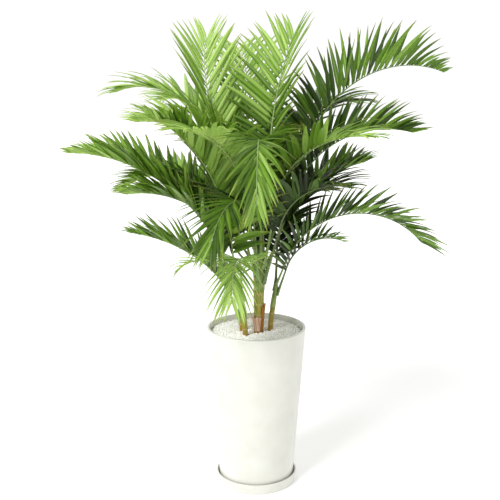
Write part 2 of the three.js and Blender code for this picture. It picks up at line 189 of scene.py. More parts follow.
LEAFLET_THICKNESS = 0.5 * MM
LEAFLET_POINT = 0.2 * MM        # half the width of its tip
LEAFLET_FOLD = 0.5              # how far its edges lie below its middle, in half widths
LEAFLET_FOLD_LOST = 0.3         # the fold opens towards the tip
HANG_GROWTH = 1.3               # the power by which the hang grows towards the tip
RANK_OFFSET = 0.25              # the two ranks alternate, by this share of the pitch
LONGEST_AT = 0.45               # leaflets are longest just before the middle of the blade
BLADE_CURVE = 0.75 * math.pi
BLADE_FULLNESS = 0.8
NARROWEST = 0.55                # how narrow the shortest leaflets are, as a share
FADING_FROM = 0.7               # where along the blade the last leaflets begin
OPENING_AT_FOOT = 14            # leaflets open wider near the petiole, in degrees
OPENING_LOST = 30               # and point more forward at the tip
INNER_PAINTED_SHADE = 0.32              # painted shade: leaflets near the frond's foot, inside the plant, are painted darker than the outer ones
TONE_BALANCE = 0.42             # where along the blade a leaflet has its frond's set level, before the painted shade shifts it
SPINE_STEPS = 12                # chords in the frame's own midribs
SMOOTH_STEPS = 60               # steps along a midrib here

LEAFLET_STEPS = 9
CANE_SAMPLES = 200
CANE_FACETS = 32
CROWN_FACETS = 32
CROWN_STEPS = 12
RACHIS_FACETS = 12
POT_FACETS = 160
BED_FACETS = 64

POT_FOOT_RADIUS = 132 * MM
POT_WALL = 11 * MM
POT_FLOOR = 14 * MM
POT_LIP_ROUND = 5 * MM
POT_FOOT_ROUND = 4 * MM
DRAIN_RADIUS = 14 * MM
SAUCER_WALL = 6 * MM
SAUCER_CLEARANCE = 2.5 * MM
SAUCER_FOOT_ROUND = 3 * MM
PEBBLE_SIZE = 11 * MM
PEBBLE_RIM_GAP = 0.5 * MM
PEBBLE_LAYERS = (0.66, 0.4)     # how deep each layer's middle lies, in pebbles
PEBBLE_BED = 0.72               # how deep the flat bed under them lies, in pebbles
PEBBLE_ROW = 0.87               # from one staggered row to the next, in pebbles
PEBBLE_SCATTER = 0.14           # either way, in pebbles
PEBBLE_SIZES = (0.82, 1.04)
PEBBLE_WIDTHS = (0.72, 0.95)    # as shares of its length, as its height is
PEBBLE_HEIGHTS = (0.5, 0.72)
PEBBLE_TILT = 0.35              # either way, in radians
PEBBLE_EDGE = 0.45              # room kept at the rim, in pebbles
PEBBLE_CANE_GAP = 0.4           # and round a cane
BED_CHAMFER = 2 * MM
MERGE = 0.001 * MM

# A leaf scar, from below to above: how far it lies from the ring's middle, as a share of its
# half height, how much it bulges and how much it shows as a scar.
RING_PROFILE = [(-2.2, 0, 0), (-1, 0.25, 0), (-0.35, 1, 0.6), (0.35, 1, 1), (0.8, 0.2, 0.7), (1.4, 0, 0)]

MULCH_FOOT, MULCH_TOP = (corner[2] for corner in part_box("pebble_mulch"))
ROOT_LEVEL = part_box("potting_soil")[1][2] - ROOT_DEPTH
PEBBLES_UP_CANE = ROOT_DEPTH + MULCH_TOP - MULCH_FOOT      # where the pebbles end, along a cane


# ------------------------------------------------------------------ shader helpers

def linear(code, alpha=1.0):
    """An sRGB hex colour as the linear values that a shader takes."""
    channels = []
    for start in (1, 3, 5):
        value = int(code[start:start + 2], 16) / 255
        channels.append(value / 12.92 if value <= 0.04045 else ((value + 0.055) / 1.055) ** 2.4)
    return (*channels, alpha)


def per_metre(size):
    """The pattern scale that gives features of this size, in millimetres."""
    return 1 / (size * MM)


def add_node(tree, kind, settings=None, links=None):
    """Add a shader node; settings fill its properties or sockets, links join sockets to it.

    A colour ramp's stops are (place, colour) pairs, in order."""
    node = tree.nodes.new(kind)
    for name, value in (settings or {}).items():
        if name == "stops":
            ends = node.color_ramp.elements
            for end, (place, colour) in zip(ends, (value[0], value[-1])):
                end.position, end.color = place, colour
            for place, colour in value[1:-1]:
                ends.new(place).color = colour
        elif isinstance(name, int) or name in node.inputs:
            node.inputs[name].default_value = value
        else:
            setattr(node, name, value)
    for name, socket in (links or {}).items():
        tree.links.new(socket, node.inputs[name])
    return node


def new_material(name):
    """An empty material, named for the real one, and its node tree."""
    material = bpy.data.materials.new(name)
    material.use_nodes = True
    material.node_tree.nodes.clear()
    return material, material.node_tree


# The sockets of a colour mix: how much of the second, the first and the second, and its result.
SHARE, FIRST, SECOND, MIXED = 0, 6, 7, 2


# ------------------------------------------------------------------ materials

def white_glaze():
    """Slip-cast stoneware under an opaque white glaze: a warm white, wet-looking, faintly uneven."""
    material, tree = new_material("white_glazed_stoneware")
    place = add_node(tree, "ShaderNodeTexCoord").outputs["Object"]
    # The glaze pools in patches about 70 mm across, over orange peel drawn 14 mm wide to show.
    pooling = add_node(tree, "ShaderNodeTexNoise", {"Scale": per_metre(71.4), "Detail": 3.0},
                       {"Vector": place})
    tint = add_node(tree, "ShaderNodeValToRGB",
                    {"stops": [(0.3, linear("#d3d3ca")), (0.7, linear("#dadad2"))]},
                    {"Fac": pooling.outputs["Fac"]})
    peel = add_node(tree, "ShaderNodeTexNoise", {"Scale": per_metre(14.3), "Detail": 2.0},
                    {"Vector": place})
    bump = add_node(tree, "ShaderNodeBump", {"Strength": 0.06, "Distance": 1 * MM},
                    {"Height": peel.outputs["Fac"]})
    shader = add_node(tree, "ShaderNodeBsdfPrincipled",
                      {"Roughness": 0.28, "IOR": 1.5, "Coat Weight": 0.3, "Coat Roughness": 0.12},
                      {"Base Color": tint.outputs["Color"], "Normal": bump.outputs["Normal"]})
    add_node(tree, "ShaderNodeOutputMaterial", links={"Surface": shader.outputs[0]})
    return material


def potting_mix():
    """Damp peat and bark: near black, crumbly."""
    material, tree = new_material("damp_potting_mix")
    place = add_node(tree, "ShaderNodeTexCoord").outputs["Object"]
    # Crumbs of 5 to 6 mm.
    crumbs = add_node(tree, "ShaderNodeTexVoronoi", {"Scale": per_metre(5.56)}, {"Vector": place})
    tint = add_node(tree, "ShaderNodeValToRGB",
                    {"stops": [(0.1, linear("#4a3827")), (0.7, linear("#241810"))]},
                    {"Fac": crumbs.outputs["Distance"]})
    bump = add_node(tree, "ShaderNodeBump", {"Strength": 0.8, "Distance": 3 * MM},
                    {"Height": crumbs.outputs["Distance"]})
    shader = add_node(tree, "ShaderNodeBsdfPrincipled", {"Roughness": 0.95},
                      {"Base Color": tint.outputs["Color"], "Normal": bump.outputs["Normal"]})
    add_node(tree, "ShaderNodeOutputMaterial", links={"Surface": shader.outputs[0]})
    return material


def white_pebble():
    """Tumbled white marble pebbles: chalky, slightly warm, each its own shade."""
    material, tree = new_material("tumbled_white_marble")
    place = add_node(tree, "ShaderNodeTexCoord").outputs["Object"]
    shade = add_node(tree, "ShaderNodeAttribute", {"attribute_name": "tone"})
    tint = add_node(tree, "ShaderNodeValToRGB",
                    {"stops": [(0.0, linear("#f2f0e9")), (0.5, linear("#fbfaf6")),
                               (1.0, linear("#ffffff"))]},
                    {"Fac": shade.outputs["Fac"]})
    # Crystal grain, drawn coarser than it is so that it shows.
    grain = add_node(tree, "ShaderNodeTexNoise", {"Scale": per_metre(2.38), "Detail": 3.0},
                     {"Vector": place})
    bump = add_node(tree, "ShaderNodeBump", {"Strength": 0.15, "Distance": 0.5 * MM},
                    {"Height": grain.outputs["Fac"]})
    shader = add_node(tree, "ShaderNodeBsdfPrincipled", {"Roughness": 0.6},
                      {"Base Color": tint.outputs["Color"], "Normal": bump.outputs["Normal"]})
    add_node(tree, "ShaderNodeOutputMaterial", links={"Surface": shader.outputs[0]})
    return material


def ringed_cane():
    """Green-gold palm cane: smooth waxy skin between pale scars, brown and corky at the foot."""
    material, tree = new_material("palm_cane_skin")
    spot = add_node(tree, "ShaderNodeUVMap", {"uv_map": "skin"}).outputs["UV"]
    parts = add_node(tree, "ShaderNodeSeparateXYZ", links={"Vector": spot})
    place = add_node(tree, "ShaderNodeTexCoord").outputs["Object"]
    # Fibres run up the cane, drawn 4 mm wide and 80 mm long, coarser than they are, to show.
    fibres = add_node(tree, "ShaderNodeMapping", {"Scale": (per_metre(3.85), per_metre(83.3), 1.0)},
                      {"Vector": spot})
    streak = add_node(tree, "ShaderNodeTexNoise", {"Scale": 1.0, "Detail": 4.0},
                      {"Vector": fibres.outputs["Vector"]})
    skin = add_node(tree, "ShaderNodeValToRGB",
                    {"stops": [(0.3, linear("#70701f")), (0.55, linear("#9a972f")),
                               (0.75, linear("#c0b654"))]},
                    {"Fac": streak.outputs["Fac"]})
    # The foot of a cane is old and brown; the colour climbs to green with height.
    patchy = add_node(tree, "ShaderNodeTexNoise", {"Scale": per_metre(25), "Detail": 3.0},
                      {"Vector": place})
    climb = add_node(tree, "ShaderNodeMath", {"operation": "MULTIPLY_ADD", 1: 0.06},
                     {0: patchy.outputs["Fac"], 2: parts.outputs["Y"]})
    age = add_node(tree, "ShaderNodeMapRange",
                   {"From Min": 0.14, "From Max": 0.2, "To Min": 0.7, "To Max": 0.0},
                   {"Value": climb.outputs[0]})
    bark = add_node(tree, "ShaderNodeValToRGB",
                    {"stops": [(0.3, linear("#8c5a1c")), (0.7, linear("#c0913f"))]},
                    {"Fac": streak.outputs["Fac"]})
    aged = add_node(tree, "ShaderNodeMix", {"data_type": "RGBA"},
                    {SHARE: age.outputs["Result"], FIRST: skin.outputs["Color"],
                     SECOND: bark.outputs["Color"]})
    scar = add_node(tree, "ShaderNodeAttribute", {"attribute_name": "scar"})
    scarred = add_node(tree, "ShaderNodeMix", {"data_type": "RGBA", SECOND: linear("#b3a26a")},
                       {SHARE: scar.outputs["Fac"], FIRST: aged.outputs[MIXED]})
    bump = add_node(tree, "ShaderNodeBump", {"Strength": 0.35, "Distance": 0.6 * MM},
                    {"Height": streak.outputs["Fac"]})
    shader = add_node(tree, "ShaderNodeBsdfPrincipled", {"Roughness": 0.48},
                      {"Base Color": scarred.outputs[MIXED], "Normal": bump.outputs["Normal"]})
    add_node(tree, "ShaderNodeOutputMaterial", links={"Surface": shader.outputs[0]})
    return material


def dry_husk():
    """Dead leaf sheath: papery brown fibre with cream where it has split."""
    material, tree = new_material("dry_palm_fibre")
    spot = add_node(tree, "ShaderNodeUVMap", {"uv_map": "skin"}).outputs["UV"]
    # Torn fibre in strands about 2 mm wide and 70 mm long.
    fibres = add_node(tree, "ShaderNodeMapping", {"Scale": (per_metre(2.38), per_metre(71.4), 1.0)},
                      {"Vector": spot})
    streak = add_node(tree, "ShaderNodeTexNoise", {"Scale": 1.0, "Detail": 5.0},
                      {"Vector": fibres.outputs["Vector"]})
    fibre = add_node(tree, "ShaderNodeValToRGB",
                    {"stops": [(0.3, linear("#5c3210")), (0.5, linear("#a86a1f")),
                               (0.7, linear("#cf9c48"))]},
                    {"Fac": streak.outputs["Fac"]})
    cream = add_node(tree, "ShaderNodeValToRGB",
                    {"stops": [(0.3, linear("#6b2f18")), (0.42, linear("#c99a7c")),
                               (0.65, linear("#f0d9c6"))]},
                    {"Fac": streak.outputs["Fac"]})
    pale = add_node(tree, "ShaderNodeAttribute", {"attribute_name": "pale"})
    tint = add_node(tree, "ShaderNodeMix", {"data_type": "RGBA"},
                    {SHARE: pale.outputs["Fac"], FIRST: fibre.outputs["Color"],
                     SECOND: cream.outputs["Color"]})
    bump = add_node(tree, "ShaderNodeBump", {"Strength": 0.6, "Distance": 1 * MM},
                    {"Height": streak.outputs["Fac"]})
    shader = add_node(tree, "ShaderNodeBsdfPrincipled", {"Roughness": 0.85},
                      {"Base Color": tint.outputs[MIXED], "Normal": bump.outputs["Normal"]})
    add_node(tree, "ShaderNodeOutputMaterial", links={"Surface": shader.outputs[0]})
    return material


def leaf_sheath():
    """Living leaf sheath: pale yellow-green under a dusty wax bloom, finely ribbed lengthwise."""
    material, tree = new_material("waxy_leaf_sheath")
    spot = add_node(tree, "ShaderNodeUVMap", {"uv_map": "skin"}).outputs["UV"]
    # Ribs under 2 mm wide run the sheath's length, under bloom in clouds of 40 mm.
    ribs = add_node(tree, "ShaderNodeMapping", {"Scale": (per_metre(1.67), per_metre(100), 1.0)},
                    {"Vector": spot})
    streak = add_node(tree, "ShaderNodeTexNoise", {"Scale": 1.0, "Detail": 3.0},
                      {"Vector": ribs.outputs["Vector"]})
    place = add_node(tree, "ShaderNodeTexCoord").outputs["Object"]
    cloud = add_node(tree, "ShaderNodeTexNoise", {"Scale": per_metre(40), "Detail": 2.0},
                     {"Vector": place})
    both = add_node(tree, "ShaderNodeMath", {"operation": "ADD"},
                    {0: streak.outputs["Fac"], 1: cloud.outputs["Fac"]})
    half = add_node(tree, "ShaderNodeMath", {"operation": "MULTIPLY", 1: 0.5}, {0: both.outputs[0]})
    tint = add_node(tree, "ShaderNodeValToRGB",
                    {"stops": [(0.35, linear("#566f2a")), (0.5, linear("#7b9145")),
                               (0.66, linear("#aeb26a"))]},
                    {"Fac": half.outputs[0]})
    bump = add_node(tree, "ShaderNodeBump", {"Strength": 0.3, "Distance": 0.4 * MM},
                    {"Height": streak.outputs["Fac"]})
    shader = add_node(tree, "ShaderNodeBsdfPrincipled", {"Roughness": 0.5},
                      {"Base Color": tint.outputs["Color"], "Normal": bump.outputs["Normal"]})
    add_node(tree, "ShaderNodeOutputMaterial", links={"Surface": shader.outputs[0]})
    return material


def palm_leaf():
    """Palm leaflet: satin cuticle over soft green tissue that lets some light through."""
    material, tree = new_material("palm_leaflet")
    spot = add_node(tree, "ShaderNodeUVMap", {"uv_map": "blade"}).outputs["UV"]
    tone = add_node(tree, "ShaderNodeAttribute", {"attribute_name": "tone"})
    # Fine parallel veins run the length of a leaflet, about 1 mm apart.
    veins = add_node(tree, "ShaderNodeMapping", {"Scale": (per_metre(1.11), per_metre(111), 1.0)},
                     {"Vector": spot})
    streak = add_node(tree, "ShaderNodeTexNoise", {"Scale": 1.0, "Detail": 2.0},
                      {"Vector": veins.outputs["Vector"]})
    mottled = add_node(tree, "ShaderNodeMath", {"operation": "MULTIPLY_ADD", 1: 0.3, 2: -0.15},
                       {0: streak.outputs["Fac"]})
    level = add_node(tree, "ShaderNodeMath", {"operation": "ADD"},
                     {0: tone.outputs["Fac"], 1: mottled.outputs[0]})
    # The tone picks a green from shaded dark to lit light, so this carries the painted light and shade
    # as well as each leaflet's own random tone.
    green = add_node(tree, "ShaderNodeValToRGB",
                    {"stops": [(0.0, linear("#20300d")), (0.3, linear("#4c6d22")),
                               (0.6, linear("#80ab37")), (1.0, linear("#c4e180"))]},
                    {"Fac": level.outputs[0]})
    # Leaflet tips are the first to go yellow.
    reach = add_node(tree, "ShaderNodeAttribute", {"attribute_name": "reach"})
    tip = add_node(tree, "ShaderNodeMapRange",
                   {"From Min": 0.74, "From Max": 1.0, "To Min": 0.0, "To Max": 0.6},
                   {"Value": reach.outputs["Fac"]})
    tipped = add_node(tree, "ShaderNodeMix", {"data_type": "RGBA", SECOND: linear("#a6a848")},
                      {SHARE: tip.outputs["Result"], FIRST: green.outputs["Color"]})
    cuticle = add_node(tree, "ShaderNodeBsdfPrincipled",
                       {"Roughness": 0.34, "Specular IOR Level": 0.32},
                       {"Base Color": tipped.outputs[MIXED]})
    # Seen against the light a leaflet glows a little yellower than its surface.
    glow = add_node(tree, "ShaderNodeHueSaturation", {"Hue": 0.485, "Saturation": 1.15, "Value": 1.3},
                    {"Color": tipped.outputs[MIXED]})
    tissue = add_node(tree, "ShaderNodeBsdfTranslucent", links={"Color": glow.outputs["Color"]})
    shader = add_node(tree, "ShaderNodeMixShader", {"Fac": 0.28},
                      {1: cuticle.outputs[0], 2: tissue.outputs[0]})
    add_node(tree, "ShaderNodeOutputMaterial", links={"Surface": shader.outputs[0]})
    return material


def midrib_skin():
    """Palm midrib and petiole: smooth pale yellow-green skin, paler than the leaflets."""
    material, tree = new_material("palm_midrib")
    tone = add_node(tree, "ShaderNodeAttribute", {"attribute_name": "tone"})
    # The tone is the frond's painted light and shade: midribs of fronds in the plant's shade are painted
    # darker.
    tint = add_node(tree, "ShaderNodeValToRGB",
                    {"stops": [(0.0, linear("#5d7040")), (0.5, linear("#86a05e")),
                               (1.0, linear("#b4c77c"))]},
                    {"Fac": tone.outputs["Fac"]})
    shader = add_node(tree, "ShaderNodeBsdfPrincipled", {"Roughness": 0.4},
                      {"Base Color": tint.outputs["Color"]})
    add_node(tree, "ShaderNodeOutputMaterial", links={"Surface": shader.outputs[0]})
    return material


def studio_paper():
    """Matt white background paper, lit enough to stay white under the plant."""
    material, tree = new_material("white_studio_paper")
    shader = add_node(tree, "ShaderNodeBsdfPrincipled",
                      {"Base Color": linear("#f4f4f2"), "Roughness": 0.9,
                       "Emission Color": linear("#ffffff"), "Emission Strength": 0.2})
    add_node(tree, "ShaderNodeOutputMaterial", links={"Surface": shader.outputs[0]})
    return material


# ------------------------------------------------------------------ mesh helpers

def to_piece(name, bm, materials, node):
    """Turn a bmesh into a smooth-shaded piece that stands for a CAD node."""
    mesh = bpy.data.meshes.new(name)
    bm.to_mesh(mesh)
    bm.free()
    for material in materials:
        mesh.materials.append(material)
    piece = bpy.data.objects.new(name, mesh)
    bpy.context.scene.collection.objects.link(piece)
    mesh.shade_smooth()
    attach(piece, BODY)
    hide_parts(node)
    return piece


def turned(profile, facets):
    """A closed profile of (radius, level) corners, spun about the vertical axis."""
    bm = bmesh.new()
    corners = [bm.verts.new((radius, 0, level)) for radius, level in profile]
    edges = [bm.edges.new(pair) for pair in zip(corners, corners[1:])]
    on_axis = profile[0][0] == 0
    if not on_axis:
        edges.append(bm.edges.new((corners[-1], corners[0])))
    bmesh.ops.spin(bm, geom=corners + edges, axis=(0, 0, 1), cent=(0, 0, 0), steps=facets,
                   angle=2 * math.pi, use_merge=True)
    bmesh.ops.remove_doubles(bm, verts=bm.verts, dist=MERGE)
    bmesh.ops.recalc_face_normals(bm, faces=bm.faces)
    return bm


def rounded_edge(radius, level, size, start, end, steps=6):
    """Corners of a rounded edge about a centre, from one angle to another, in degrees."""
    corners = []
    for step in range(steps + 1):
        angle = math.radians(start + (end - start) * step / steps)
        corners.append((radius + size * math.cos(angle), level + size * math.sin(angle)))
    return corners


def faces_round(verts):
    """The faces that meet at these corners, each once and always in the same order."""
    return list(dict.fromkeys(face for vert in verts for face in vert.link_faces))


def tube(bm, rings, section):
    """A closed skin over rings of (centre, side, across, half depth, half width, distance).

    The section is a unit outline. The mesh's own uv map holds metres round and metres along."""
    sides, last = len(section), len(rings) - 1
    verts = bmesh.ops.create_grid(bm, x_segments=sides, y_segments=last, size=0.5)["verts"]
    uv = bm.loops.layers.uv.verify()
    places = {}
    for vert in verts:
        column = round((vert.co.x + 0.5) * sides)
        row = round((vert.co.y + 0.5) * last)
        centre, side, across, depth, width, distance = rings[row]
        x, y = section[column % sides]
        places[vert] = (2 * math.pi * width * column / sides, distance)
        vert.co = centre + side * (x * depth) + across * (y * width)
    faces = faces_round(verts)
    for face in faces:
        for loop in face.loops:
            loop[uv].uv = places[loop.vert]
    bmesh.ops.remove_doubles(bm, verts=verts, dist=MERGE)
    rims = list(dict.fromkeys(edge for face in faces for edge in face.edges if edge.is_boundary))
    return faces + bmesh.ops.holes_fill(bm, edges=rims, sides=0)["faces"]


def circle(sides):
    """A unit circle's corners, anticlockwise."""
    turns = [2 * math.pi * k / sides for k in range(sides)]
    return [(math.cos(turn), math.sin(turn)) for turn in turns]


def channelled(sides):
    """A petiole's outline: round, with a groove along its upper side."""
    corners = []
    for x, y in circle(sides):
        off_top = math.degrees(math.atan2(abs(y), x))
        radius = 1 - GROOVE_DEPTH * math.exp(-(off_top / GROOVE_SPREAD) ** 2)
        corners.append((x * radius, y * radius))
    return corners


def stored(bm):
    """Keep a finished shape as mesh data, to be copied into others."""
    mesh = bpy.data.meshes.new("stored")
    bm.to_mesh(mesh)
    bm.free()
    return mesh


def facing_out(bm):
    """The same mesh with every face turned outwards."""
    bmesh.ops.recalc_face_normals(bm, faces=bm.faces)
    return bm


# ------------------------------------------------------------------ pot, saucer and filling

def make_pot(glaze):
    """The tapered pot: one wall, a drain hole in its floor, a soft round lip."""
    low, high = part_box("pot")
    base, rim = low[2], high[2]
    rim_radius = high[0]
    taper = (rim_radius - POT_FOOT_RADIUS) / (rim - base)

    def inner(level):
        return POT_FOOT_RADIUS + taper * (level - base) - POT_WALL

    floor_top = base + POT_FLOOR
    lip_level = rim - POT_LIP_ROUND
    bm = turned([
        (DRAIN_RADIUS, base),
        *rounded_edge(POT_FOOT_RADIUS - POT_FOOT_ROUND, base + POT_FOOT_ROUND, POT_FOOT_ROUND, -90, 0),
        *rounded_edge(rim_radius - POT_LIP_ROUND, lip_level, POT_LIP_ROUND, 0, 90),
        *rounded_edge(inner(lip_level) + POT_LIP_ROUND, lip_level, POT_LIP_ROUND, 90, 180),
        (inner(floor_top), floor_top),
        (DRAIN_RADIUS, floor_top),
    ], POT_FACETS)
    return to_piece("glazed_pot", bm, [glaze], "pot")


def make_saucer(glaze):
    """The saucer: it flares from under the pot's foot to a fully round lip."""
    low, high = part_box("saucer")
    floor_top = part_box("pot")[0][2]
    edge = SAUCER_WALL / 2
    lip = high[0] - edge
    inner_foot = POT_FOOT_RADIUS + SAUCER_CLEARANCE
    foot = inner_foot + SAUCER_WALL - SAUCER_FOOT_ROUND
    bm = turned([
        (0, low[2]),
        *rounded_edge(foot, low[2] + SAUCER_FOOT_ROUND, SAUCER_FOOT_ROUND, -90, 0),
        *rounded_edge(lip, high[2] - edge, edge, 0, 180, steps=12),
        (inner_foot, floor_top),
        (0, floor_top),
    ], POT_FACETS)
    return to_piece("glazed_saucer", bm, [glaze], "saucer")


def clear_of(canes, x, y):
    """Whether a pebble fits here without running into a cane."""
    return all(math.hypot(x - cane.at_pebbles.x, y - cane.at_pebbles.y)
               >= cane.radius + PEBBLE_CANE_GAP * PEBBLE_SIZE for cane in canes.values())


def make_pebbles(marble, canes):
    """Two staggered layers of pebbles, packed as close as they would settle, on a flat bed."""
    rng = random.Random(7)
    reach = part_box("pebble_mulch")[1][0] - PEBBLE_RIM_GAP
    bed_top = MULCH_TOP - PEBBLE_BED * PEBBLE_SIZE
    bed_outline = [(0, MULCH_FOOT), (reach - BED_CHAMFER, MULCH_FOOT), (reach, bed_top), (0, bed_top)]
    bed = stored(turned(bed_outline, BED_FACETS))
    unit = bmesh.new()
    bmesh.ops.create_uvsphere(unit, u_segments=8, v_segments=5, radius=1.0)
    ball = stored(unit)
    bm = bmesh.new()
    bm.verts.layers.float.new("tone")
    rows = int(2 * reach / (PEBBLE_SIZE * PEBBLE_ROW)) + 2
    for depth in PEBBLE_LAYERS:
        level = MULCH_TOP - depth * PEBBLE_SIZE
        shift = rng.random() * PEBBLE_SIZE
        for row in range(rows):
            for column in range(rows):
                x = -reach + column * PEBBLE_SIZE + (row % 2) * PEBBLE_SIZE / 2 + shift
                y = -reach + row * PEBBLE_SIZE * PEBBLE_ROW + shift
                x += rng.uniform(-PEBBLE_SCATTER, PEBBLE_SCATTER) * PEBBLE_SIZE
                y += rng.uniform(-PEBBLE_SCATTER, PEBBLE_SCATTER) * PEBBLE_SIZE
                if math.hypot(x, y) <= reach - PEBBLE_EDGE * PEBBLE_SIZE and clear_of(canes, x, y):
                    add_pebble(bm, ball, rng, Vector((x, y, level)))
    bm.from_mesh(bed)
    bpy.data.meshes.remove(ball)
    bpy.data.meshes.remove(bed)
    return to_piece("white_pebbles", facing_out(bm), [marble], "pebble_mulch")


def add_pebble(bm, ball, rng, centre):
    """One flattened, slightly lopsided stone, from a unit ball."""
    size = PEBBLE_SIZE / 2 * rng.uniform(*PEBBLE_SIZES)
    bm.from_mesh(ball)
    bm.verts.ensure_lookup_table()
    stone = bm.verts[-len(ball.vertices):]
    tone = bm.verts.layers.float["tone"]
    turn = Matrix.Rotation(rng.uniform(0, math.pi), 3, "Z")
    tilt = Matrix.Rotation(rng.uniform(-PEBBLE_TILT, PEBBLE_TILT), 3, "X")
    stretch = Vector((1.0, rng.uniform(*PEBBLE_WIDTHS), rng.uniform(*PEBBLE_HEIGHTS)))
    shade = rng.random()
    for vert in stone:
        vert.co = centre + turn @ (tilt @ (vert.co * stretch * size))
        vert[tone] = shade


# ------------------------------------------------------------------ canes, sheaths and husks

class Cane:
    """The middle line of a cane, as the frame has it: a curve from its foot to its tip."""

    def __init__(self, foot_x, foot_y, tip_x, tip_y, height, radius, crown_length):
        self.radius = radius * MM
        self.crown_length = crown_length * MM
        foot = Vector((foot_x * MM, foot_y * MM, ROOT_LEVEL))
        knee = Vector((foot_x * MM, foot_y * MM, MULCH_TOP))
        tip = Vector((tip_x * MM, tip_y * MM, MULCH_TOP + height * MM))
        self.at_pebbles = knee
        self.line = []
        for step in range(CANE_SAMPLES + 1):
            t = step / CANE_SAMPLES
            point = foot * (1 - t) ** 2 + knee * (2 * t * (1 - t)) + tip * t ** 2
            slope = (knee - foot) * (2 * (1 - t)) + (tip - knee) * (2 * t)
            self.line.append((point, slope.normalized()))
        self.travelled = [0.0]
        for (before, _), (after, _) in zip(self.line, self.line[1:]):
            self.travelled.append(self.travelled[-1] + (after - before).length)
        self.length = self.travelled[-1]

    def frame_at(self, distance):
        """The point, side and across directions, and heading at a distance from the foot."""
        held = min(max(distance, 0.0), self.length)
        step = 0
        while step < CANE_SAMPLES - 1 and self.travelled[step + 1] < held:
            step += 1
        share = (held - self.travelled[step]) / (self.travelled[step + 1] - self.travelled[step])
        point = self.line[step][0].lerp(self.line[step + 1][0], share)
        along = self.line[step][1].lerp(self.line[step + 1][1], share).normalized()
        side = Vector((0, 1, 0)).cross(along).normalized()
        return point + along * (distance - held), side, side.cross(along), along

    def crown_radius(self, drop):
        """Radius of the wrapped sheaths at a drop below the tip."""
        share = min(max(1 - drop / self.crown_length, 0.0), 1.0)
        return self.radius * CROWN_SWELL * (1 - (1 - CROWN_TIP_SHARE) * share * share)


def make_cane(name, cane, skin):
    """A ringed cane, from its roots up to its leaf sheaths."""
    top = cane.length - cane.crown_length
    marks = [(0.0, 0.0, 0.0)]
    ring = PEBBLES_UP_CANE + RING_PITCH / 2
    while ring < top - RING_HALF_HEIGHT:
        for offset, bulge, scar in RING_PROFILE:
            marks.append((ring + offset * RING_HALF_HEIGHT, bulge * RING_BULGE, scar))
        ring += RING_PITCH
    marks.append((top, 0.0, 0.0))
    rings, scars = [], []
    for distance, bulge, scar in marks:
        point, side, across, _ = cane.frame_at(distance)
        radius = cane.radius + bulge
        rings.append((point, side, across, radius, radius, distance))
        scars.append(scar)
    bm = bmesh.new()
    layer = bm.verts.layers.float.new("scar")
    bm.loops.layers.uv.new("skin")
    tube(bm, rings, circle(CANE_FACETS))
    for vert in bm.verts:
        nearest = min(range(len(rings)), key=lambda row: (vert.co - rings[row][0]).length)
        vert[layer] = scars[nearest]
    return to_piece(f"ringed_cane_{name}", facing_out(bm), [skin], f"cane_{name}")


def make_sheaths(name, cane, skin):
    """The rolled leaf sheaths at a cane's top, each lapping the one inside it."""
    rings = []
    for step in range(CROWN_STEPS + 1):
        drop = cane.crown_length * (1 - step / CROWN_STEPS)
        point, side, across, _ = cane.frame_at(cane.length - drop)
        radius = cane.crown_radius(drop)
        rings.append((point, side, across, radius, radius, cane.length - drop))
    point, side, across, along = cane.frame_at(cane.length)
    for share in CROWN_CAP:
        rise = cane.crown_radius(0) * (1 - share * share) ** 0.5
        radius = cane.crown_radius(0) * share
        rings.append((point + along * rise * CROWN_CAP_RISE, side, across, radius, radius,
                      cane.length + rise))
    lapped = []
    for k, (x, y) in enumerate(circle(CROWN_FACETS)):
        lap = 1 - CROWN_LAP + CROWN_LAP * k / CROWN_FACETS
        lapped.append((x * lap, y * lap))
    bm = bmesh.new()
    bm.loops.layers.uv.new("skin")
    tube(bm, rings, lapped)
    return to_piece(f"rolled_sheaths_{name}", facing_out(bm), [skin], f"sheaths_{name}")


def make_husk(name, cane, skin):
    """A dry sheath that has split open and peels away from the cane's foot, frayed at its top."""
    rng = random.Random(name)
    start, sweep, height, peel = HUSKS[name]
    height, peel = height * MM, peel * MM
    inner = cane.radius + RING_BULGE + HUSK_STAND_OFF
    foot = PEBBLES_UP_CANE + HUSK_LIFT
    bm = bmesh.new()
    uv = bm.loops.layers.uv.new("skin")
    pale = bm.verts.layers.float.new("pale")
    verts = bmesh.ops.create_grid(bm, x_segments=HUSK_COLUMNS, y_segments=HUSK_ROWS, size=0.5)["verts"]
    frays = [rng.uniform(*HUSK_FRAY) for _ in range(HUSK_COLUMNS + 1)]
    places = {}
    for vert in verts:
        u, v = vert.co.x + 0.5, vert.co.y + 0.5
        rise = v * frays[round(u * HUSK_COLUMNS)]
        turn = math.radians(start + sweep * u)
        ripple = HUSK_RIPPLE * math.sin(HUSK_RIPPLES * turn + HUSK_RIPPLE_TURN * rise)
        radius = inner + peel * rise * rise + ripple
        point, side, across, _ = cane.frame_at(foot + rise * height)
        vert[pale] = 1.0 if name == FRESHLY_TORN else 0.0
        places[vert] = (inner * math.radians(sweep) * u, rise * height)
        vert.co = point + side * (radius * math.cos(turn)) - across * (radius * math.sin(turn))
    for face in bm.faces:
        for loop in face.loops:
            loop[uv].uv = places[loop.vert]
    bmesh.ops.solidify(bm, geom=list(bm.faces), thickness=-HUSK_THICKNESS / 2)
    return to_piece(f"dry_{name}", facing_out(bm), [skin], name)


# ------------------------------------------------------------------ fronds

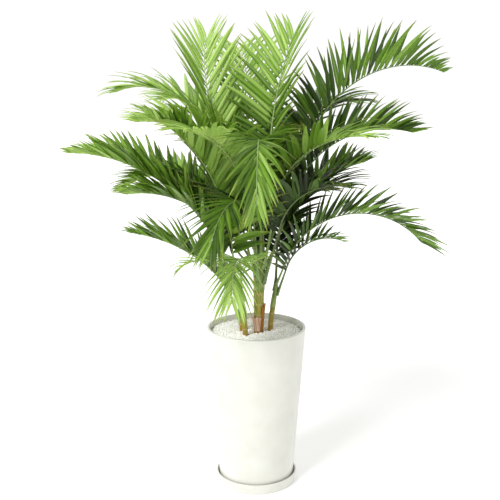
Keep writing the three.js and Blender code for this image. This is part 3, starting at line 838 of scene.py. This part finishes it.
class Spine:
    """The middle line of a frond: it rises straight, then bends over and sweeps round."""

    def __init__(self, start, frond):
        self.petiole, self.length = frond.petiole * MM, frond.length * MM
        self.frames = []
        point = start.copy()
        step_length = self.length / SMOOTH_STEPS
        lag = self.length / SPINE_STEPS / 2
        for step in range(SMOOTH_STEPS + 1):
            # The frame's chords turn half a chord late, so this finer line does too.
            blade = max(0.0, step * step_length - lag - self.petiole) / (self.length - self.petiole)
            elevation = math.radians(frond.rise - frond.bend * blade ** frond.curl)
            azimuth = math.radians(frond.heading + frond.sweep * blade)
            along = Vector((math.cos(elevation) * math.cos(azimuth),
                            math.cos(elevation) * math.sin(azimuth), math.sin(elevation)))
            across = Vector((-math.sin(azimuth), math.cos(azimuth), 0))
            self.frames.append((point.copy(), along.cross(across), across, along))
            point += along * step_length

    def frame_at(self, distance):
        """The point, and the upward, across and forward directions, at a distance from the foot."""
        place = distance / self.length * SMOOTH_STEPS
        low = min(max(int(place), 0), SMOOTH_STEPS - 1)
        share = place - low
        point, side, across, along = (a.lerp(b, share) for a, b in
                                      zip(self.frames[low], self.frames[low + 1]))
        return point, side.normalized(), across.normalized(), along.normalized()

    def radius(self, distance):
        """The petiole narrows to the midrib, and the midrib to the frond's tip."""
        if distance < self.petiole:
            return PETIOLE_RADIUS + (RACHIS_RADIUS - PETIOLE_RADIUS) * distance / self.petiole
        blade = (distance - self.petiole) / (self.length - self.petiole)
        return RACHIS_RADIUS + (RACHIS_TIP_RADIUS - RACHIS_RADIUS) * blade


Leaflet = namedtuple("Leaflet", "hand opening lift length width hang twist tone")


def leaflet_half_width(reach):
    """Half the width of a leaflet, as a share of its widest: narrow foot, broad third, long point."""
    return 0.14 * (1 - reach) + 0.93 * math.sin(math.pi * reach ** 0.62) ** 0.8


def leaflet_rows(frame, leaflet):
    """The middle, breadth, upper side and reach at each step along a leaflet."""
    point, side, across, along = frame
    out = across * (leaflet.hand * math.cos(leaflet.lift)) + side * math.sin(leaflet.lift)
    start = (along * math.cos(leaflet.opening) + out * math.sin(leaflet.opening)).normalized()
    middle, heading = point.copy(), start
    rows = []
    for step in range(LEAFLET_STEPS + 1):
        reach = step / LEAFLET_STEPS
        breadth = (along - heading * along.dot(heading)).normalized()
        breadth = Matrix.Rotation(leaflet.twist * reach, 3, heading) @ breadth
        rows.append((middle.copy(), breadth, breadth.cross(heading) * leaflet.hand, reach))
        heading = (start + Vector((0, 0, -1)) * (leaflet.hang * reach ** HANG_GROWTH)).normalized()
        middle += heading * (leaflet.length / LEAFLET_STEPS)
    return rows


def add_leaflet(bm, layers, frame, leaflet):
    """One leaflet: a narrow folded strip that leaves the midrib and bows under its own weight."""
    reach_layer, tone_layer, uv = layers
    rows = leaflet_rows(frame, leaflet)
    verts = bmesh.ops.create_grid(bm, x_segments=2, y_segments=LEAFLET_STEPS, size=0.5)["verts"]
    places = {}
    for vert in verts:
        column = round(vert.co.x * 2)
        middle, breadth, top, reach = rows[round((vert.co.y + 0.5) * LEAFLET_STEPS)]
        half = max(leaflet.width / 2 * leaflet_half_width(reach), LEAFLET_POINT)
        fold = abs(column) * half * (LEAFLET_FOLD - LEAFLET_FOLD_LOST * reach)
        vert.co = middle + breadth * (column * half) - top * fold
        vert[reach_layer] = reach
        vert[tone_layer] = leaflet.tone
        places[vert] = (column * half, reach * leaflet.length)
    faces = faces_round(verts)
    for face in faces:
        for loop in face.loops:
            loop[uv].uv = places[loop.vert]
    return faces


def grow_leaflet(rng, frond, habit, hand, blade):
    """One leaflet's lean, size and colour, each a little off its neighbours'."""
    def either_way(most):
        return rng.uniform(-most, most)

    profile = math.cos(BLADE_CURVE * (blade - LONGEST_AT)) ** BLADE_FULLNESS
    profile *= 1 - habit.fading * max(0.0, (blade - FADING_FROM) / (1 - FADING_FROM))
    opening = math.radians(habit.opening + OPENING_AT_FOOT - OPENING_LOST * blade + either_way(5))
    lift = math.radians(habit.stand + either_way(7))
    length = frond.leaflet * MM * profile * rng.uniform(0.92, 1.04)
    width = habit.width * MM * (NARROWEST + (1 - NARROWEST) * profile) * rng.uniform(0.85, 1.08)
    hang = habit.hang * rng.uniform(0.75, 1.25)
    twist = math.radians(either_way(18))
    # painted light and shade: the frond's painted light level, and the painted shade towards its foot,
    # plus a random tone of each leaflet's own
    tone = habit.light + INNER_PAINTED_SHADE * (blade - TONE_BALANCE) + either_way(0.26)
    return Leaflet(hand, opening, lift, length, width, hang, twist, tone)


def make_frond(name, canes, materials):
    """One frond: a channelled petiole and midrib with two ranks of leaflets."""
    frond, habit = FRONDS[name], HABITS[name]
    cane, drop = canes[frond.cane], frond.drop * MM
    rng = random.Random(name)
    seat = cane.frame_at(cane.length - drop)[0]
    outward = Vector((math.cos(math.radians(frond.heading)), math.sin(math.radians(frond.heading)), 0))
    spine = Spine(seat + outward * (cane.crown_radius(drop) if drop else 0), frond)

    bm = bmesh.new()
    reach_layer = bm.verts.layers.float.new("reach")
    tone_layer = bm.verts.layers.float.new("tone")
    layers = (reach_layer, tone_layer, bm.loops.layers.uv.new("blade"))
    leaf_faces = []
    blade_length = spine.length - spine.petiole
    pairs = round(blade_length / (habit.pitch * MM))
    for step in range(pairs):
        for hand in (-1, 1):
            blade = (step + 0.5 + RANK_OFFSET * hand + rng.uniform(-0.12, 0.12)) / pairs
            frame = spine.frame_at(spine.petiole + blade_length * blade)
            leaf_faces += add_leaflet(bm, layers, frame, grow_leaflet(rng, frond, habit, hand, blade))
    bmesh.ops.solidify(bm, geom=leaf_faces, thickness=LEAFLET_THICKNESS)

    rings = []
    for step in range(SMOOTH_STEPS + 1):
        distance = spine.length * step / SMOOTH_STEPS
        point, side, across, _ = spine.frame_at(distance)
        radius = spine.radius(distance)
        clasp = 1 + CLASP_SPREAD * max(0.0, 1 - distance / CLASP_REACH) ** 2
        rings.append((point, side, across, radius, radius * clasp, distance))
    for face in tube(bm, rings, channelled(RACHIS_FACETS)):
        face.material_index = 1
        for vert in face.verts:
            # painted light and shade: the midrib takes its frond's painted light level
            vert[tone_layer] = habit.light
    return to_piece(f"palm_frond_{name}", facing_out(bm), materials, f"frond_{name}")


# ------------------------------------------------------------------ camera and light

FLOOR_REACH = 30.0      # metres from its middle to each edge, which lies close to the horizon


def make_camera():
    """Standing height, a few steps back, looking slightly down."""
    data = bpy.data.cameras.new("camera")
    data.lens = 59.5
    data.sensor_width = 36.0
    data.shift_x = -0.0126
    camera = bpy.data.objects.new("camera", data)
    camera.location = (0.0, -2.805, 1.418)
    camera.rotation_euler = (math.radians(90 - 11.5), 0, 0)
    bpy.context.scene.collection.objects.link(camera)
    bpy.context.scene.camera = camera


def add_sun(name, towards, strength, spread):
    """A very large, far softbox: even light over the whole plant, with soft shadows."""
    data = bpy.data.lights.new(name, "SUN")
    data.energy, data.angle = strength, math.radians(spread)
    lamp = bpy.data.objects.new(name, data)
    lamp.rotation_euler = Vector(towards).to_track_quat("-Z", "Y").to_euler()
    bpy.context.scene.collection.objects.link(lamp)


def make_studio():
    """The paper floor, the one lamp and the even light all round."""
    bm = bmesh.new()
    bmesh.ops.create_grid(bm, x_segments=1, y_segments=1, size=FLOOR_REACH)
    mesh = bpy.data.meshes.new("floor")
    bm.to_mesh(mesh)
    bm.free()
    mesh.materials.append(studio_paper())
    floor = bpy.data.objects.new("floor", mesh)
    bpy.context.scene.collection.objects.link(floor)
    add_sun("key", (0.55, 0.65, -0.8), 2.2, 22)
    world = bpy.data.worlds.new("studio")
    bpy.context.scene.world = world
    world.use_nodes = True
    tree = world.node_tree
    # A lit white wall behind the plant, and a darker room behind the viewer.
    parts = add_node(tree, "ShaderNodeSeparateXYZ",
                     links={"Vector": add_node(tree, "ShaderNodeTexCoord").outputs["Generated"]})
    wall = add_node(tree, "ShaderNodeMapRange",
                    {"From Min": -0.2, "From Max": 0.5, "To Min": 0.71, "To Max": 1.05},
                    {"Value": parts.outputs["Y"]})
    tree.links.new(wall.outputs["Result"], tree.nodes["Background"].inputs["Strength"])
    tree.nodes["Background"].inputs["Color"].default_value = (1, 1, 1, 1)
    bpy.context.scene.view_settings.view_transform = "Standard"


# ------------------------------------------------------------------ assembly

make_camera()
make_studio()

glaze = white_glaze()
make_pot(glaze)
make_saucer(glaze)

frame["nodes"]["potting_soil"].data.materials.clear()
frame["nodes"]["potting_soil"].data.materials.append(potting_mix())

canes = {name: Cane(*row) for name, row in CANES.items()}
make_pebbles(white_pebble(), canes)
cane_skin, sheath_skin, husk_skin = ringed_cane(), leaf_sheath(), dry_husk()
for name, cane in canes.items():
    make_cane(name, cane, cane_skin)
    make_sheaths(name, cane, sheath_skin)
for name in HUSKS:
    make_husk(name, canes["main"], husk_skin)
frond_materials = [palm_leaf(), midrib_skin()]
for name in FRONDS:
    make_frond(name, canes, frond_materials)
